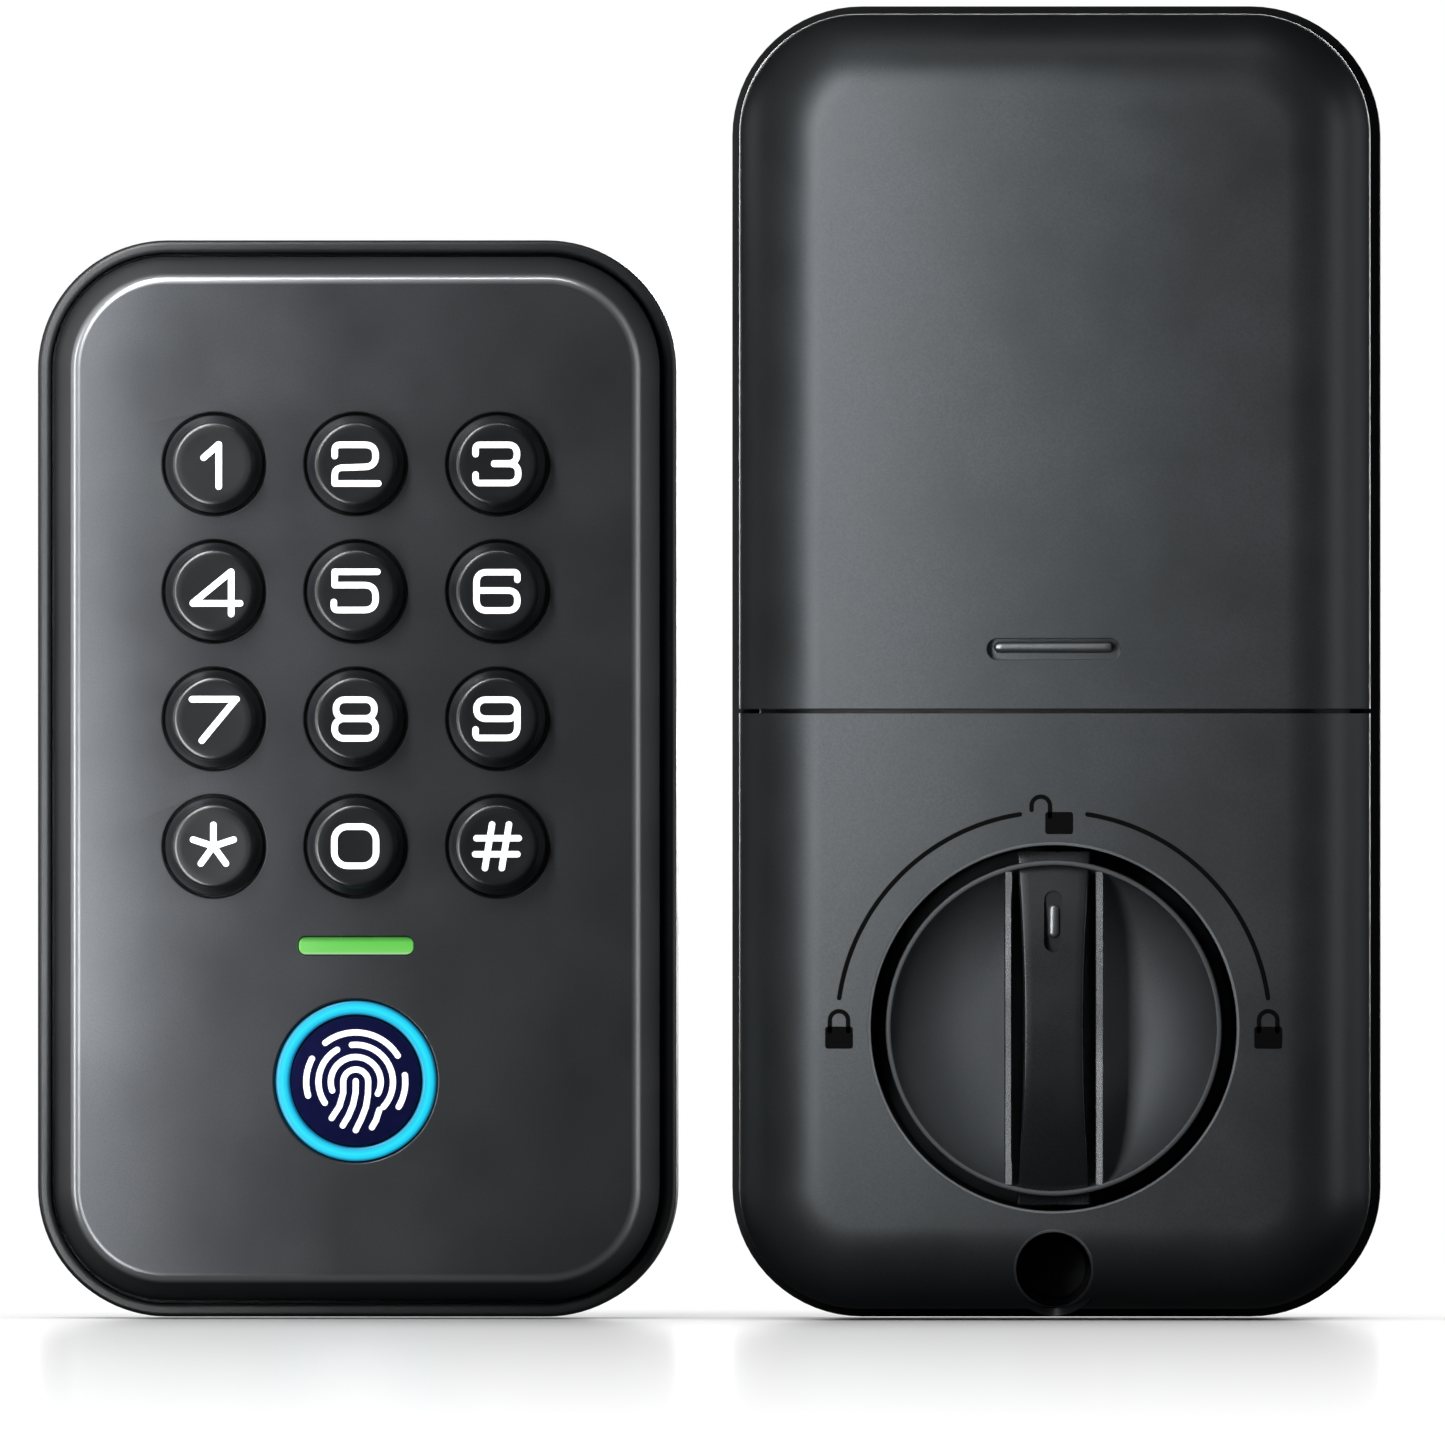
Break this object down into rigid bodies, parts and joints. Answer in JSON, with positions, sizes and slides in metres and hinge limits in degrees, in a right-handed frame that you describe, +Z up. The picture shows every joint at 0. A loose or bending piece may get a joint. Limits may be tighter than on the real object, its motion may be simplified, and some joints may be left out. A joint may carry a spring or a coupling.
{
  "type": "keypad smart lock",
  "caption": "Keypad smart lock for a deadbolt: an outdoor unit with round keys and a fingerprint sensor, and an indoor unit with a thumbturn and a sliding battery cover.",
  "frame": {"origin": "middle of the pair on the ground they stand on, halfway through the overall width and depth", "axes": "+Z up, both fronts towards -Y, the keypad unit on the -X side and the indoor unit on the +X side"},
  "size_m": [0.145, 0.038, 0.1416],
  "materials": {
    "black_housing": "fine satin",
    "gasket_rubber": "matt",
    "graphite_metal": "satin graphite paint",
    "graphite_shell": "satin graphite paint",
    "key_plastic": "satin",
    "silicone_mat": "matt",
    "circuit_board": "solder mask",
    "switch_metal": "satin",
    "green_lens": "lit diffuser",
    "lamp_white": "satin",
    "sensor_glass": "gloss",
    "cyan_lens": "lit diffuser",
    "black_inner_plastic": "matt",
    "screw_steel": "zinc plated",
    "black_screw": "black oxide",
    "insert_brass": "turned",
    "connector_plastic": "satin",
    "port_steel": "satin",
    "plate_steel": "zinc plated",
    "cell_wrap": "printed wrap",
    "spring_steel": "nickel plated",
    "chassis_zinc": "as cast",
    "motor_can": "satin",
    "grip_metal": "semi gloss",
    "knob_metal": "semi gloss black",
    "spindle_steel": "turned",
    "gear_nylon": "natural",
    "ring_steel": "blued",
    "pinion_brass": "cut"
  },
  "bodies": {
    "keypad_unit": {"keypad_back_housing": "black_housing", "door_gasket": "gasket_rubber", "keypad_face_shell": "graphite_metal", "key_mat": "silicone_mat", "keypad_circuit_board": "circuit_board", "key_switches": "switch_metal", "status_light_bar": "green_lens", "status_lamp": "lamp_white", "fingerprint_sensor": "sensor_glass", "fingerprint_light_ring": "cyan_lens", "sensor_bracket": "black_inner_plastic", "keypad_board_screws": "screw_steel", "back_housing_screws": "screw_steel", "mounting_inserts": "insert_brass", "cable_grommet": "gasket_rubber", "outer_cable_header": "connector_plastic", "emergency_power_port": "port_steel", "buzzer": "black_inner_plastic"},
    "key_1_button": {"key_1": "key_plastic"},
    "key_2_button": {"key_2": "key_plastic"},
    "key_3_button": {"key_3": "key_plastic"},
    "key_4_button": {"key_4": "key_plastic"},
    "key_5_button": {"key_5": "key_plastic"},
    "key_6_button": {"key_6": "key_plastic"},
    "key_7_button": {"key_7": "key_plastic"},
    "key_8_button": {"key_8": "key_plastic"},
    "key_9_button": {"key_9": "key_plastic"},
    "key_star_button": {"key_star": "key_plastic"},
    "key_0_button": {"key_0": "key_plastic"},
    "key_hash_button": {"key_hash": "key_plastic"},
    "indoor_unit": {"mounting_plate": "plate_steel", "plate_screws": "screw_steel", "indoor_back_tray": "black_housing", "indoor_front_cover": "graphite_shell", "cover_screws": "screw_steel", "bottom_fixing_screw": "black_screw", "battery_box": "black_inner_plastic", "batteries": "cell_wrap", "battery_springs": "spring_steel", "battery_contacts": "spring_steel", "gear_chassis": "chassis_zinc", "chassis_screws": "screw_steel", "motor": "motor_can", "motor_clamp": "chassis_zinc", "main_circuit_board": "circuit_board", "main_board_screws": "screw_steel", "inner_cable_header": "connector_plastic", "position_switches": "black_inner_plastic"},
    "battery_cover": {"battery_cover": "graphite_shell", "cover_grip": "grip_metal"},
    "thumbturn": {"thumbturn_knob": "knob_metal", "thumbturn_spindle": "spindle_steel", "spindle_gear": "gear_nylon", "retaining_ring": "ring_steel"},
    "idler": {"idler_gear": "gear_nylon"},
    "pinion": {"motor_pinion": "pinion_brass"}
  },
  "joints": [
    {"name": "round_the_door", "type": "hinge", "parent": "keypad_unit", "child": "indoor_unit", "pos_m": [-0.00025, 0.0415, 0], "axis": [0, 0, 1], "range_deg": [0, 180]},
    {"name": "key_1_press", "type": "slide", "parent": "keypad_unit", "child": "key_1_button", "axis": [0, 1, 0], "range_m": [0, 0.0012], "stiffness_N_per_m": 500},
    {"name": "key_2_press", "type": "slide", "parent": "keypad_unit", "child": "key_2_button", "axis": [0, 1, 0], "range_m": [0, 0.0012], "stiffness_N_per_m": 500},
    {"name": "key_3_press", "type": "slide", "parent": "keypad_unit", "child": "key_3_button", "axis": [0, 1, 0], "range_m": [0, 0.0012], "stiffness_N_per_m": 500},
    {"name": "key_4_press", "type": "slide", "parent": "keypad_unit", "child": "key_4_button", "axis": [0, 1, 0], "range_m": [0, 0.0012], "stiffness_N_per_m": 500},
    {"name": "key_5_press", "type": "slide", "parent": "keypad_unit", "child": "key_5_button", "axis": [0, 1, 0], "range_m": [0, 0.0012], "stiffness_N_per_m": 500},
    {"name": "key_6_press", "type": "slide", "parent": "keypad_unit", "child": "key_6_button", "axis": [0, 1, 0], "range_m": [0, 0.0012], "stiffness_N_per_m": 500},
    {"name": "key_7_press", "type": "slide", "parent": "keypad_unit", "child": "key_7_button", "axis": [0, 1, 0], "range_m": [0, 0.0012], "stiffness_N_per_m": 500},
    {"name": "key_8_press", "type": "slide", "parent": "keypad_unit", "child": "key_8_button", "axis": [0, 1, 0], "range_m": [0, 0.0012], "stiffness_N_per_m": 500},
    {"name": "key_9_press", "type": "slide", "parent": "keypad_unit", "child": "key_9_button", "axis": [0, 1, 0], "range_m": [0, 0.0012], "stiffness_N_per_m": 500},
    {"name": "key_star_press", "type": "slide", "parent": "keypad_unit", "child": "key_star_button", "axis": [0, 1, 0], "range_m": [0, 0.0012], "stiffness_N_per_m": 500},
    {"name": "key_0_press", "type": "slide", "parent": "keypad_unit", "child": "key_0_button", "axis": [0, 1, 0], "range_m": [0, 0.0012], "stiffness_N_per_m": 500},
    {"name": "key_hash_press", "type": "slide", "parent": "keypad_unit", "child": "key_hash_button", "axis": [0, 1, 0], "range_m": [0, 0.0012], "stiffness_N_per_m": 500},
    {"name": "battery_cover_slide", "type": "slide", "parent": "indoor_unit", "child": "battery_cover", "axis": [0, 0, 1], "range_m": [0, 0.07]},
    {"name": "thumbturn_turn", "type": "hinge", "parent": "indoor_unit", "child": "thumbturn", "pos_m": [0.0375, 0, 0.0313], "axis": [0, -1, 0], "range_deg": [-90, 90]},
    {"name": "idler_turn", "type": "hinge", "parent": "indoor_unit", "child": "idler", "pos_m": [0.04327, 0, 0.0493], "axis": [0, -1, 0], "range_deg": [-316, 316]},
    {"name": "pinion_turn", "type": "hinge", "parent": "indoor_unit", "child": "pinion", "pos_m": [0.0375, 0, 0.0605], "axis": [0, -1, 0], "range_deg": [-820, 820]}
  ],
  "couplings": [
    {"joint": "idler_turn", "follows": "thumbturn_turn", "ratio": -3.5},
    {"joint": "pinion_turn", "follows": "thumbturn_turn", "ratio": 9.1}
  ]
}
